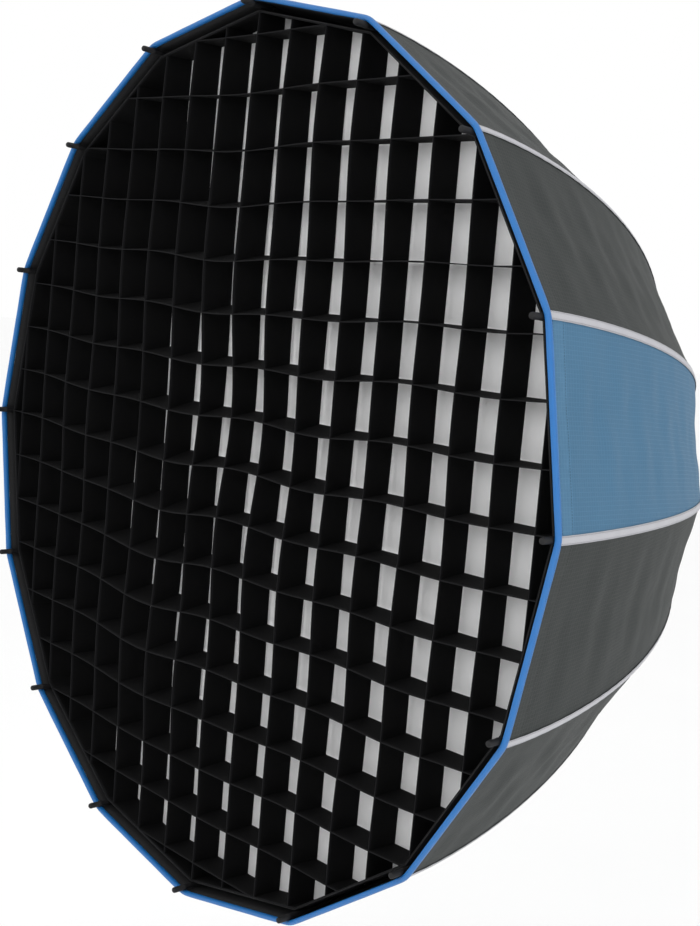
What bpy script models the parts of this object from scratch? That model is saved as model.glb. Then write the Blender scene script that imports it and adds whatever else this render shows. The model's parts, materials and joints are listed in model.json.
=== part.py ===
"""Sixteen-rib parabolic softbox with a quick-fold hub, one object for each piece.

Metres, +Z up. The origin is the centre of the bayonet flange's seat. The box opens towards -Y, the
lamp is behind it at +Y, and rib_01 points straight up. Angles go from +Z towards +X.
"""
from math import cos, pi, radians, sin, tau

import bmesh
import bpy
from mathutils import Matrix, Vector

# ---- overall sizes ----
RIBS = 16
RIM_RADIUS = 0.600            # axis to a corner of the front edge, middle of the cloth
BOX_DEPTH = 0.700             # rim plane to the plane of the rib hinges
HINGE_RADIUS = 0.085          # axis to a rib's hinge line
HINGE_Y = -0.042              # hinge plane, measured from the flange's seat

# ---- the curve of the cover, one Bezier from the rim to the hub ----
RIM_LEAN = radians(3.6)       # the cover's slope off the axis at the rim
RIM_HANDLE = 0.140 * BOX_DEPTH
HUB_LEAN = radians(85.2)      # the same at the hub, where it is nearly flat
HUB_HANDLE = 0.660 * RIM_RADIUS

# ---- ribs ----
ROD_RADIUS = 0.0025
TIP_RADIUS = 0.0039
TIP_REACH = 0.0185            # how far a rubber tip stands out in front of the rim
TIP_SLEEVE = 0.030            # how far it runs back over the rod
RIM_EASE = 0.080              # stretch in which the rod steps in to pass inside the binding
ROD_SIDES = 6

# ---- knuckle at the root of each rib ----
KNUCKLE_WIDTH = 0.010
BARREL_RADIUS = 0.0070
ARM_LENGTH = 0.024
ARM_HALF_HEIGHT = 0.0045
WIRE_RADIUS = 0.0013
WIRE_PLAY = 0.0003
NOTCH_RADIUS = 0.0057         # hinge line to the floor of the catch notch
NOTCH_ANGLE = radians(226)    # where the notch sits on the barrel, from the arm round the back
NOTCH_SPREAD = radians(16)

# ---- fabric ----
CLOTH = 0.0015                # cover cloth with its reflective lining
SEAM_GAP = 0.0003
ROD_PLAY = 0.0003
COVER_STATIONS = 8
BINDING_HALF_WIDTH = 0.0030   # across the cloth
BINDING_HALF_LENGTH = 0.0045  # along the cloth
LIP_THICKNESS = 0.0015
LIP_WIDTH = 0.025             # front to back, the band that the grid's border fastens to
GRID_PITCH = 0.06975          # strip to strip
GRID_DEPTH = 0.040
GRID_SETBACK = 0.009          # rim plane to the front of the grid
GRID_STRIP = 0.0020
GRID_BORDER = 0.0030
SMALLEST_CELL = 0.018         # an offcut narrower than this at the border is closed
SCREEN = 0.0012               # diffuser cloth
SCREEN_PLAY = 0.0010
BAFFLE_DEPTH = 0.360          # rim plane to the inner diffuser
BAFFLE_INSET = 0.022          # rib to the edge of the inner diffuser, bridged by elastic loops
LOOP_WIDTH = 0.012

# ---- hub ----
ROUND_STEPS = 36
BORE_RADIUS = 0.060
JOURNAL_PLAY = 0.0005
BARREL_WALL = 0.012
HUB_REAR_Y = -0.0065
HUB_LIP = 0.012               # hinge line to the outside of the hub
HUB_FLOOR = 0.0027            # flange wall behind the slots
SLOT_WIDTH = 0.0110
SLOT_PLAY = 0.0035            # barrel to the inner end of its slot
CAP_DEPTH = 0.0130
CAP_LAND = 0.0075             # slot to the cap's bore
GAP = 0.0003

# ---- catch ring ----
CATCH_SHEET = 0.0008
CATCH_LAP = 0.0010            # how far the flat ring reaches over the slots
TONGUE_WIDTH = 0.006
TONGUE_HOLD = 0.0064          # hinge line to the tip of a spring tongue

# ---- bayonet ring ----
LIGHT_RADIUS = 0.041          # clear opening for the lamp
NECK_RADIUS = 0.0455
NECK_LENGTH = 0.012
LUG_RADIUS = 0.049
LUG_THICKNESS = 0.005
LUG_SWEEP = radians(38)
LUGS = 3
SEAT_RADIUS = 0.072
SEAT_THICKNESS = 0.005
JOURNAL_WALL = 0.0065
RETAINER_THICKNESS = 0.0025
RETAINER_PLAY = 0.0005

# ---- screws and the rotation lock ----
SCREW_RADIUS = 0.0015
SCREW_HEAD_RADIUS = 0.0026
SCREW_HEAD = 0.0018
SCREW_GRIP = 0.006            # how far a screw reaches into the piece it holds
CAP_SCREWS = 4
RETAINER_SCREWS = 3
SCREW_SIDES = 8
LOCK_ANGLE = radians(191.25)  # between two ribs, underneath
LOCK_Y = -0.0165
LOCK_SCREW_RADIUS = 0.0027
LOCK_HOLE_RADIUS = 0.0030
LOCK_BOSS_RADIUS = 0.0075
LOCK_BOSS_HEIGHT = 0.0035
LOCK_PAD_LENGTH = 0.004
KNOB_STEM_RADIUS = 0.005
KNOB_STEM = 0.008
KNOB_RADIUS = 0.0092
KNOB_LENGTH = 0.018
KNOB_LOBES = 6
KNOB_LOBE_DEPTH = 0.0008

# ---- rear collar ----
COLLAR_CLOTH = 0.0012
COLLAR_LAP = 0.011            # how far the collar lies on the hub's flange

# ---- places that follow from the sizes ----
STEP = tau / RIBS
RIM_Y = HINGE_Y - BOX_DEPTH
ROD_OFFSET = ROD_RADIUS + ROD_PLAY + CLOTH / 2
TIP_OFFSET = TIP_RADIUS + ROD_PLAY + BINDING_HALF_WIDTH
HUB_FLANGE_RADIUS = HINGE_RADIUS + HUB_LIP
SLOT_INNER_RADIUS = HINGE_RADIUS - BARREL_RADIUS - SLOT_PLAY
CAP_BORE_RADIUS = SLOT_INNER_RADIUS - CAP_LAND
RETAINER_RADIUS = CAP_BORE_RADIUS - RETAINER_PLAY
CATCH_INNER_RADIUS = CAP_BORE_RADIUS + GAP
CATCH_OUTER_RADIUS = SLOT_INNER_RADIUS + CATCH_LAP
CAP_SCREW_CIRCLE = (CATCH_INNER_RADIUS + CATCH_OUTER_RADIUS) / 2 - 0.0005
HUB_FRONT_Y = HINGE_Y + GAP
CAP_REAR_Y = HINGE_Y - GAP
CAP_FRONT_Y = HINGE_Y - CAP_DEPTH
SLOT_FLOOR_Y = HINGE_Y + BARREL_RADIUS + GAP
FLANGE_REAR_Y = SLOT_FLOOR_Y + HUB_FLOOR
CATCH_Y = CAP_FRONT_Y - GAP - CATCH_SHEET
BARREL_OUTER_RADIUS = BORE_RADIUS + BARREL_WALL
JOURNAL_RADIUS = BORE_RADIUS - JOURNAL_PLAY
COVER_REAR_RADIUS = HINGE_RADIUS + ARM_LENGTH + 0.0025
GRID_FRONT_Y = RIM_Y + GRID_SETBACK
GRID_BACK_Y = GRID_FRONT_Y + GRID_DEPTH
X, Y, Z = Vector((1, 0, 0)), Vector((0, 1, 0)), Vector((0, 0, 1))


# ---- scene helpers ----
def clear_scene():
    for item in list(bpy.data.objects):
        bpy.data.objects.remove(item, do_unlink=True)


def finish(name, color, roughness, metallic=0.0):
    """A Principled material for one kind of piece."""
    material = bpy.data.materials.new(name)
    material.use_nodes = True
    shader = material.node_tree.nodes["Principled BSDF"]
    shader.inputs["Base Color"].default_value = (*color, 1.0)
    shader.inputs["Roughness"].default_value = roughness
    shader.inputs["Metallic"].default_value = metallic
    return material


def pivot(name, location=(0, 0, 0), turn=0.0, parent=None):
    """An empty that pieces hang from, turned about the box's axis."""
    empty = bpy.data.objects.new(name, None)
    bpy.context.scene.collection.objects.link(empty)
    empty.parent = parent
    empty.location = location
    empty.rotation_euler = (0, turn, 0)
    return empty


def place(name, mesh, material, parent, smooth=None):
    """An object of its own for one piece. smooth is the angle above which an edge stays sharp."""
    piece = bpy.data.objects.new(name, mesh)
    bpy.context.scene.collection.objects.link(piece)
    if not mesh.materials:
        mesh.materials.append(material)
    piece.material_slots[0].link = "OBJECT"
    piece.material_slots[0].material = material
    if smooth is not None:
        mesh.shade_smooth()
        mesh.set_sharp_from_angle(angle=radians(smooth))
    piece.parent = parent
    return piece


# ---- shape helpers: each returns a closed mesh ----
def to_mesh(bm, name):
    bmesh.ops.recalc_face_normals(bm, faces=bm.faces[:])
    mesh = bpy.data.meshes.new(name)
    bm.to_mesh(mesh)
    bm.free()
    return mesh


def skinned(name, rings):
    """A solid through a row of rings with the same number of points, closed at both ends."""
    bm = bmesh.new()
    loops = [[bm.verts.new(point) for point in ring] for ring in rings]
    for near, far in zip(loops, loops[1:]):
        for k in range(len(near)):
            j = (k + 1) % len(near)
            bm.faces.new((near[k], near[j], far[j], far[k]))
    bm.faces.new(loops[0])
    bm.faces.new(loops[-1])
    return to_mesh(bm, name)


def turned(name, outline, steps=ROUND_STEPS, sweep=tau, turn=0.0, across_flats=False):
    """An outline of (radius, y) points spun about Y. With across_flats the radii reach the flats."""
    reach = 1 / cos(pi / steps) if across_flats else 1.0
    bm = bmesh.new()
    points = [bm.verts.new((0, y, radius * reach)) for radius, y in outline]
    for k, point in enumerate(points):
        bm.edges.new((point, points[(k + 1) % len(points)]))
    whole = sweep == tau
    if not whole:
        bm.faces.new(points)
    bmesh.ops.spin(bm, geom=bm.verts[:] + bm.edges[:] + bm.faces[:], cent=(0, 0, 0), axis=(0, 1, 0),
                   angle=sweep, steps=steps, use_merge=whole)
    bmesh.ops.rotate(bm, verts=bm.verts[:], cent=(0, 0, 0), matrix=Matrix.Rotation(turn, 3, "Y"))
    return to_mesh(bm, name)


def extruded(name, outline, move):
    """A flat outline pushed along move."""
    bm = bmesh.new()
    face = bm.faces.new([bm.verts.new(point) for point in outline])
    pushed = bmesh.ops.extrude_face_region(bm, geom=[face])["geom"]
    moved = [item for item in pushed if isinstance(item, bmesh.types.BMVert)]
    bmesh.ops.translate(bm, verts=moved, vec=move)
    return to_mesh(bm, name)


def rod_mesh(name, start, axis, stops, sides):
    """A stepped round bar: stops are (distance along axis, radius)."""
    across = axis.orthogonal().normalized()
    other = axis.cross(across)
    angles = [tau * (k + 0.5) / sides for k in range(sides)]
    rings = [[start + axis * along + (across * cos(a) + other * sin(a)) * radius for a in angles]
             for along, radius in stops]
    return skinned(name, rings)


def combine(base, tools, operation):
    """The base mesh with tool meshes joined on (UNION) or cut away (DIFFERENCE)."""
    scene = bpy.context.scene.collection.objects
    target = bpy.data.objects.new("target", base)
    scene.link(target)
    helpers = []
    for tool in tools:
        helper = bpy.data.objects.new("tool", tool)
        scene.link(helper)
        helpers.append(helper)
        cut = target.modifiers.new("boolean", "BOOLEAN")
        cut.operation = operation
        cut.solver = "EXACT"
        cut.object = helper
    graph = bpy.context.evaluated_depsgraph_get()
    result = bpy.data.meshes.new_from_object(target.evaluated_get(graph))
    result.name = base.name
    for item in [target, *helpers]:
        bpy.data.objects.remove(item, do_unlink=True)
    return result


def joined(name, meshes):
    """Separate closed shapes in one mesh, for use as a single tool."""
    bm = bmesh.new()
    for mesh in meshes:
        bm.from_mesh(mesh)
    return to_mesh(bm, name)


def around(mesh, angles):
    """Copies of a mesh turned about the box's axis, in one mesh."""
    bm = bmesh.new()
    for angle in angles:
        start = len(bm.verts)
        bm.from_mesh(mesh)
        bm.verts.ensure_lookup_table()
        bmesh.ops.rotate(bm, verts=bm.verts[start:], cent=(0, 0, 0),
                         matrix=Matrix.Rotation(angle, 3, "Y"))
    return to_mesh(bm, mesh.name)


# ---- the cover's curve, in the plane of a rib ----
def curve(t):
    """Point (radius, y) and outward normal of the cover's middle, from the rim (0) to the hub (1)."""
    rim = Vector((RIM_RADIUS, RIM_Y))
    hub = Vector((HINGE_RADIUS, HINGE_Y + ROD_OFFSET))
    rim_handle = rim + Vector((-sin(RIM_LEAN), cos(RIM_LEAN))) * RIM_HANDLE
    hub_handle = hub + Vector((sin(HUB_LEAN), -cos(HUB_LEAN))) * HUB_HANDLE
    s = 1 - t
    point = rim * s**3 + rim_handle * 3 * s * s * t + hub_handle * 3 * s * t * t + hub * t**3
    along = ((rim_handle - rim) * s * s + (hub_handle - rim_handle) * 2 * s * t
             + (hub - hub_handle) * t * t).normalized()
    return point, Vector((along.y, -along.x))


def place_on_curve(index, value):
    """The curve parameter where the radius (index 0) or y (index 1) reaches value."""
    low, high = 0.0, 1.0
    rising = curve(1.0)[0][index] > curve(0.0)[0][index]
    for _ in range(50):
        middle = (low + high) / 2
        if (curve(middle)[0][index] < value) == rising:
            low = middle
        else:
            high = middle
    return low


def offset_point(t, offset):
    """Point (radius, y) at a distance outside (+) or inside (-) the cover's middle."""
    point, outward = curve(t)
    return point + outward * offset


def rod_point(t):
    """Middle of the rod (radius, y): close under the cover, and further in at the rim."""
    ease = max(0.0, 1 - (curve(t)[0].y - RIM_Y) / RIM_EASE)
    return offset_point(t, -ROD_OFFSET - (TIP_OFFSET - ROD_OFFSET) * ease**2)


def cover_stations():
    """Curve parameters from the binding to the cover's rear edge, shared by the cloth and the rods."""
    front = place_on_curve(1, RIM_Y + BINDING_HALF_LENGTH + SEAM_GAP)
    sleeve = place_on_curve(1, RIM_Y + TIP_SLEEVE)
    back = place_on_curve(0, COVER_REAR_RADIUS)
    steps = [front + (back - front) * k / COVER_STATIONS for k in range(COVER_STATIONS + 1)]
    return [front, sleeve, sleeve + 0.004] + [t for t in steps if t > sleeve + 0.02]


def rod_stops():
    """Middle of the rod at each of its bends (radius, y), with the cover's outward normal there."""
    end = place_on_curve(0, HINGE_RADIUS + ARM_LENGTH / 2)
    stations = [0.0] + cover_stations()[1:] + [end]
    return [(rod_point(t), curve(t)[1]) for t in stations]


def rod_radius_at(y):
    """Distance from the axis to the middle of the bent rod at one depth."""
    points = [point for point, _ in rod_stops()]
    for near, far in zip(points, points[1:]):
        if near.y <= y <= far.y:
            return near.x + (far.x - near.x) * (y - near.y) / (far.y - near.y)
    return points[0].x


def in_rib_frame(radius, y, x=0.0):
    """A point of the rib's plane, measured from its hinge."""
    return Vector((x, y - HINGE_Y, radius - HINGE_RADIUS))


# ---- ribs ----
def rib_rod():
    """Sprung rod along the cover's curve, with its rubber tip, as one round bar of changing radius."""
    bends = rod_stops()
    rim, outward = bends[0]
    forward = (rim - bends[1][0]).normalized()
    stops = [(rim + forward * TIP_REACH, outward, TIP_RADIUS * 0.35),
             (rim + forward * (TIP_REACH - TIP_RADIUS * 0.35), outward, TIP_RADIUS * 0.85),
             (rim + forward * (TIP_REACH - TIP_RADIUS), outward, TIP_RADIUS),
             (*bends[1], TIP_RADIUS * 0.98)]
    stops += [(*bend, ROD_RADIUS) for bend in bends[2:]]
    angles = [tau * j / ROD_SIDES for j in range(ROD_SIDES)]
    rings = [[in_rib_frame(*(point + outward * cos(a) * radius), x=sin(a) * radius)
              for a in angles] for point, outward, radius in stops]
    return skinned("rib", rings)


def knuckle():
    """Moulded hinge block: a barrel with a notch for the catch, and an arm that grips the rod."""
    notch_start = NOTCH_ANGLE - NOTCH_SPREAD
    notch_end = NOTCH_ANGLE + NOTCH_SPREAD
    arm_end = rod_point(place_on_curve(0, HINGE_RADIUS + ARM_LENGTH))
    arm_middle = arm_end.y - HINGE_Y
    arc = [pi / 2 + (notch_start - pi / 2) * k / 5 for k in range(6)]
    polar = [(BARREL_RADIUS, a) for a in arc]
    polar += [(NOTCH_RADIUS, notch_start + 0.06), (NOTCH_RADIUS, notch_end - 0.06)]
    polar += [(BARREL_RADIUS, notch_end), (BARREL_RADIUS, 3 * pi / 2)]
    outline = [Vector((-KNUCKLE_WIDTH / 2, sin(a) * r, cos(a) * r)) for r, a in polar]
    for y in (arm_middle - ARM_HALF_HEIGHT, arm_middle + ARM_HALF_HEIGHT):
        outline.append(Vector((-KNUCKLE_WIDTH / 2, y, ARM_LENGTH)))
    outline.append(Vector((-KNUCKLE_WIDTH / 2, BARREL_RADIUS, ARM_LENGTH / 2)))
    block = extruded("knuckle", outline, X * KNUCKLE_WIDTH)
    bore = rod_mesh("bore", X * -KNUCKLE_WIDTH, X, [(0, WIRE_RADIUS + WIRE_PLAY),
                    (2 * KNUCKLE_WIDTH, WIRE_RADIUS + WIRE_PLAY)], 8)
    return combine(block, [bore], "DIFFERENCE")


def rib():
    return combine(rib_rod(), [knuckle()], "UNION")


# ---- cover ----
def cover_panel():
    """One gore of the cover, from its own rib to the next, straight across and curved front to back."""
    half_seam = SEAM_GAP / 2
    rings = []
    for t in cover_stations():
        ring = []
        for offset, sides in ((CLOTH / 2, (0, 1)), (-CLOTH / 2, (1, 0))):
            radius, y = offset_point(t, offset)
            corners = [Vector((sin(a) * radius, y - HINGE_Y, cos(a) * radius)) for a in (0.0, STEP)]
            across = (corners[1] - corners[0]).normalized()
            edges = [corners[0] + across * half_seam, corners[1] - across * half_seam]
            ring += [edges[side] - Z * HINGE_RADIUS for side in sides]
        rings.append(ring)
    return skinned("cover_panel", rings)


def front_binding():
    """Rolled tape round the front edge."""
    sides = 8
    apothem = RIM_RADIUS * cos(STEP / 2)
    section = [(apothem + cos(a) * BINDING_HALF_WIDTH, RIM_Y + sin(a) * BINDING_HALF_LENGTH)
               for a in (tau * (k + 0.5) / sides for k in range(sides))]
    return turned("front_binding", section, RIBS, across_flats=True)


def lip_apothem():
    """Axis to the outside of a side of the lip, clear of the rubber sleeves at its corners."""
    sleeve = min(rod_radius_at(GRID_FRONT_Y), rod_radius_at(GRID_FRONT_Y + LIP_WIDTH))
    return (sleeve - TIP_RADIUS - GAP) * cos(STEP / 2)


def grid_apothem():
    return lip_apothem() - LIP_THICKNESS - GAP


def front_lip():
    """Standing band of webbing just inside the ribs, which the grid's border fastens to."""
    outer = lip_apothem()
    inner = outer - LIP_THICKNESS
    front, back = GRID_FRONT_Y, GRID_FRONT_Y + LIP_WIDTH
    section = [(inner, front), (outer, front), (outer, back), (inner, back)]
    return turned("front_lip", section, RIBS, across_flats=True)


def polygon_plate(name, corner_radius, front, thickness):
    outline = [Vector((sin(k * STEP), 0, cos(k * STEP))) * corner_radius + Y * front
               for k in range(RIBS)]
    return extruded(name, outline, Y * thickness)


def grid_cells():
    """Square cells in rows and columns, trimmed to the grid's border, as one cutting tool."""
    bm = bmesh.new()
    half = (GRID_PITCH - GRID_STRIP) / 2
    apothem = grid_apothem()
    reach = int(apothem / GRID_PITCH) + 1
    for row in range(-reach, reach):
        for column in range(-reach, reach):
            x, z = (column + 0.5) * GRID_PITCH, (row + 0.5) * GRID_PITCH
            where = Matrix.Translation((x, GRID_FRONT_Y - 0.001, z)) @ Matrix.Rotation(pi / 2, 4, "X")
            bmesh.ops.create_grid(bm, x_segments=1, y_segments=1, size=half, matrix=where)
    for k in range(RIBS):
        angle = (k + 0.5) * STEP
        outward = Vector((sin(angle), 0, cos(angle)))
        bmesh.ops.bisect_plane(bm, geom=bm.verts[:] + bm.edges[:] + bm.faces[:], dist=1e-6,
                               plane_co=outward * (apothem - GRID_BORDER), plane_no=outward,
                               clear_outer=True)
    offcuts = [face for face in bm.faces if face.calc_area() < SMALLEST_CELL**2]
    bmesh.ops.delete(bm, geom=offcuts, context="FACES")
    pushed = bmesh.ops.extrude_face_region(bm, geom=bm.faces[:])["geom"]
    moved = [item for item in pushed if isinstance(item, bmesh.types.BMVert)]
    bmesh.ops.translate(bm, verts=moved, vec=Y * (GRID_DEPTH + 0.002))
    return to_mesh(bm, "grid_cells")


def egg_crate_grid():
    plate = polygon_plate("egg_crate_grid", grid_apothem() / cos(STEP / 2), GRID_FRONT_Y, GRID_DEPTH)
    return combine(plate, [grid_cells()], "DIFFERENCE")


def front_diffuser():
    y = GRID_BACK_Y + GAP
    rod = rod_radius_at(y + SCREEN)
    return polygon_plate("front_diffuser", rod - TIP_RADIUS - SCREEN_PLAY, y, SCREEN)


def inner_diffuser():
    """Second screen half-way down the box, with an elastic loop out to each rib."""
    y = RIM_Y + BAFFLE_DEPTH
    rod = rod_radius_at(y + SCREEN)
    edge = rod - BAFFLE_INSET
    reach = rod - 2 * ROD_RADIUS - SCREEN_PLAY
    outline = []
    for k in range(RIBS):
        outward = Vector((sin(k * STEP), 0, cos(k * STEP)))
        across = Vector((outward.z, 0, -outward.x)) * LOOP_WIDTH / 2
        for radius, side in ((edge, -1), (reach, -1), (reach, 1), (edge, 1)):
            outline.append(outward * radius + across * side + Y * y)
    return extruded("inner_diffuser", outline, Y * SCREEN)


def rear_collar():
    """Cloth skirt that closes the box between the cover and the hub."""
    cover = offset_point(place_on_curve(0, COVER_REAR_RADIUS), CLOTH / 2)
    flat = FLANGE_REAR_Y + GAP
    kink = HUB_FLANGE_RADIUS + COLLAR_CLOTH
    edge = COVER_REAR_RADIUS + 0.002
    low = cover.y + GAP * 2
    front = [(HUB_FLANGE_RADIUS - COLLAR_LAP, flat), (kink, flat), (edge, low)]
    rear = [(radius, y + COLLAR_CLOTH) for radius, y in reversed(front)]
    return turned("rear_collar", front + rear)


# ---- hub ----
def slots():
    """Sixteen boxes that open the hub for the knuckles."""
    height = HUB_FLANGE_RADIUS + 0.010 - SLOT_INNER_RADIUS
    outline = [Vector((x, SLOT_FLOOR_Y, SLOT_INNER_RADIUS + z)) for x, z in (
        (-SLOT_WIDTH / 2, 0), (SLOT_WIDTH / 2, 0), (SLOT_WIDTH / 2, height), (-SLOT_WIDTH / 2, height))]
    box = extruded("slot", outline, Y * (CAP_FRONT_Y - 0.010 - SLOT_FLOOR_Y))
    return around(box, [k * STEP for k in range(RIBS)])


def wire_groove():
    """Square channel that the hinge wire lies in, half in the hub and half in its cap."""
    half = WIRE_RADIUS + WIRE_PLAY
    section = [(HINGE_RADIUS + u * half, HINGE_Y + v * half)
               for u, v in ((-1, -1), (1, -1), (1, 1), (-1, 1))]
    return turned("groove", section, RIBS, turn=STEP / 2, across_flats=True)


def screw_angles(count):
    return [STEP / 2 + tau * k / count for k in range(count)]


def screw_holes(name, radius_out, start, length, count):
    hole = rod_mesh(name, Z * radius_out + Y * start, -Y,
                    [(0, SCREW_RADIUS + GAP), (length, SCREW_RADIUS + GAP)], SCREW_SIDES)
    return around(hole, screw_angles(count))


def hub_ring():
    section = [(BORE_RADIUS, HUB_REAR_Y), (BARREL_OUTER_RADIUS, HUB_REAR_Y),
               (BARREL_OUTER_RADIUS, FLANGE_REAR_Y), (HUB_FLANGE_RADIUS, FLANGE_REAR_Y),
               (HUB_FLANGE_RADIUS, HUB_FRONT_Y), (BORE_RADIUS, HUB_FRONT_Y)]
    body = turned("hub_ring", section)
    boss = around(rod_mesh("boss", Z * (BARREL_OUTER_RADIUS - 0.003) + Y * LOCK_Y, Z,
                  [(0, LOCK_BOSS_RADIUS), (0.003 + LOCK_BOSS_HEIGHT, LOCK_BOSS_RADIUS)], 20),
                  [LOCK_ANGLE])
    hole = around(rod_mesh("hole", Z * (BORE_RADIUS - 0.005) + Y * LOCK_Y, Z,
                  [(0, LOCK_HOLE_RADIUS), (0.030, LOCK_HOLE_RADIUS)], 12), [LOCK_ANGLE])
    holes = screw_holes("holes", CAP_SCREW_CIRCLE, HUB_FRONT_Y + SCREW_GRIP + GAP, 0.02, CAP_SCREWS)
    body = combine(body, [boss], "UNION")
    return combine(body, [slots(), wire_groove(), hole, holes], "DIFFERENCE")


def hub_cap():
    section = [(CAP_BORE_RADIUS, CAP_REAR_Y), (HUB_FLANGE_RADIUS, CAP_REAR_Y),
               (HUB_FLANGE_RADIUS, CAP_FRONT_Y + 0.002), (HUB_FLANGE_RADIUS - 0.002, CAP_FRONT_Y),
               (CAP_BORE_RADIUS, CAP_FRONT_Y)]
    holes = screw_holes("holes", CAP_SCREW_CIRCLE, CAP_REAR_Y + 0.01, 0.04, CAP_SCREWS)
    return combine(turned("hub_cap", section), [slots(), wire_groove(), holes], "DIFFERENCE")


def hinge_wire():
    """Round steel ring, bent once between every two ribs, that all the knuckles turn on."""
    sides = 8
    section = [(HINGE_RADIUS + cos(a) * WIRE_RADIUS, HINGE_Y + sin(a) * WIRE_RADIUS)
               for a in (tau * (k + 0.5) / sides for k in range(sides))]
    return turned("hinge_wire", section, RIBS, turn=STEP / 2, across_flats=True)


def catch_ring():
    """Spring-steel ring with a bent tongue for each knuckle, which holds its rib open."""
    inner, outer = CATCH_INNER_RADIUS, CATCH_OUTER_RADIUS
    sheet = CATCH_SHEET
    flat = turned("catch_ring", [(inner, CATCH_Y), (outer, CATCH_Y), (outer, CATCH_Y + sheet),
                  (inner, CATCH_Y + sheet)])
    hold = Vector((HINGE_RADIUS + cos(NOTCH_ANGLE) * TONGUE_HOLD,
                   HINGE_Y + sin(NOTCH_ANGLE) * TONGUE_HOLD))
    bend = Vector((outer + 0.0006, CATCH_Y + sheet / 2))
    along = (hold - bend).normalized()
    across = Vector((-along.y, along.x)) * sheet / 2
    root = Vector((outer - 0.002, CATCH_Y + sheet / 2))
    up = Vector((0, sheet / 2))
    side = [root - up, bend - up, hold - across, hold + across, bend + up, root + up]
    outline = [Vector((-TONGUE_WIDTH / 2, y, radius)) for radius, y in side]
    tongue = extruded("tongue", outline, X * TONGUE_WIDTH)
    holes = screw_holes("holes", CAP_SCREW_CIRCLE, CATCH_Y + 0.01, 0.02, CAP_SCREWS)
    whole = combine(flat, [around(tongue, [k * STEP for k in range(RIBS)])], "UNION")
    return combine(whole, [holes], "DIFFERENCE")


# ---- bayonet ring and what holds the hub on it ----
def bayonet_ring():
    waist = 0.010
    flare = 0.030
    journal_inner = JOURNAL_RADIUS - JOURNAL_WALL
    section = [(LIGHT_RADIUS, NECK_LENGTH), (NECK_RADIUS, NECK_LENGTH), (NECK_RADIUS, 0),
               (SEAT_RADIUS, 0), (SEAT_RADIUS, -SEAT_THICKNESS), (JOURNAL_RADIUS, -SEAT_THICKNESS),
               (JOURNAL_RADIUS, HUB_FRONT_Y), (journal_inner, HUB_FRONT_Y), (journal_inner, -flare),
               (LIGHT_RADIUS, -waist)]
    lug_outline = [(NECK_RADIUS - 0.001, NECK_LENGTH - 0.001), (LUG_RADIUS, NECK_LENGTH - 0.001),
                   (LUG_RADIUS, NECK_LENGTH - 0.001 - LUG_THICKNESS),
                   (NECK_RADIUS - 0.001, NECK_LENGTH - 0.001 - LUG_THICKNESS)]
    lug = turned("lug", lug_outline, 5, LUG_SWEEP, -LUG_SWEEP / 2)
    lugs = around(lug, [tau * k / LUGS for k in range(LUGS)])
    holes = screw_holes("holes", retainer_screw_radius(), HUB_FRONT_Y + SCREW_GRIP + GAP, 0.02,
                        RETAINER_SCREWS)
    body = combine(turned("bayonet_ring", section), [lugs], "UNION")
    return combine(body, [holes], "DIFFERENCE")


def retainer_screw_radius():
    return JOURNAL_RADIUS - JOURNAL_WALL / 2


def retaining_ring():
    rear = HUB_FRONT_Y - GAP
    front = rear - RETAINER_THICKNESS
    inner = JOURNAL_RADIUS - JOURNAL_WALL + 0.0005
    section = [(inner, rear), (RETAINER_RADIUS, rear), (RETAINER_RADIUS, front), (inner, front)]
    holes = screw_holes("holes", retainer_screw_radius(), rear + 0.01, 0.03, RETAINER_SCREWS)
    return combine(turned("retaining_ring", section), [holes], "DIFFERENCE")


def glide_ring():
    rear = -SEAT_THICKNESS - GAP
    front = HUB_REAR_Y + GAP
    inner, outer = BORE_RADIUS, BARREL_OUTER_RADIUS - 0.0005
    return turned("glide_ring", [(inner, rear), (outer, rear), (outer, front), (inner, front)])


def screw(under_head, through):
    """Pan-head screw pointing rearwards, with its origin under the head."""
    stops = [(-SCREW_HEAD, SCREW_HEAD_RADIUS * 0.75), (-SCREW_HEAD * 0.6, SCREW_HEAD_RADIUS),
             (0, SCREW_HEAD_RADIUS), (0, SCREW_RADIUS), (through, SCREW_RADIUS)]
    return rod_mesh("screw", Y * under_head, Y, stops, SCREW_SIDES)


def lock_pad():
    start = BORE_RADIUS + 0.0001
    return rod_mesh("lock_pad", Z * start + Y * LOCK_Y, Z,
                    [(0, LOCK_SCREW_RADIUS), (LOCK_PAD_LENGTH, LOCK_SCREW_RADIUS)], 12)


def lock_knob():
    """Thumb screw: a shank, a stem, and a fluted head to grip."""
    shank = BORE_RADIUS + LOCK_PAD_LENGTH + 2 * GAP
    stem = BARREL_OUTER_RADIUS + LOCK_BOSS_HEIGHT + GAP
    head = stem + KNOB_STEM
    stops = [(0, LOCK_SCREW_RADIUS), (stem - shank, LOCK_SCREW_RADIUS),
             (stem - shank, KNOB_STEM_RADIUS), (head - shank + 0.002, KNOB_STEM_RADIUS)]
    bar = rod_mesh("lock_knob", Z * shank + Y * LOCK_Y, Z, stops, 12)
    count = KNOB_LOBES * 4
    rings = []
    for height, inset in ((0, 0.0012), (0.0015, 0), (KNOB_LENGTH - 0.0025, 0), (KNOB_LENGTH, 0.002)):
        ring = []
        for k in range(count):
            a = tau * k / count
            r = KNOB_RADIUS - inset + KNOB_LOBE_DEPTH * cos(KNOB_LOBES * a)
            ring.append(Vector((cos(a) * r, sin(a) * r + LOCK_Y, head + height)))
        rings.append(ring)
    return combine(bar, [skinned("head", rings)], "UNION")


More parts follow.
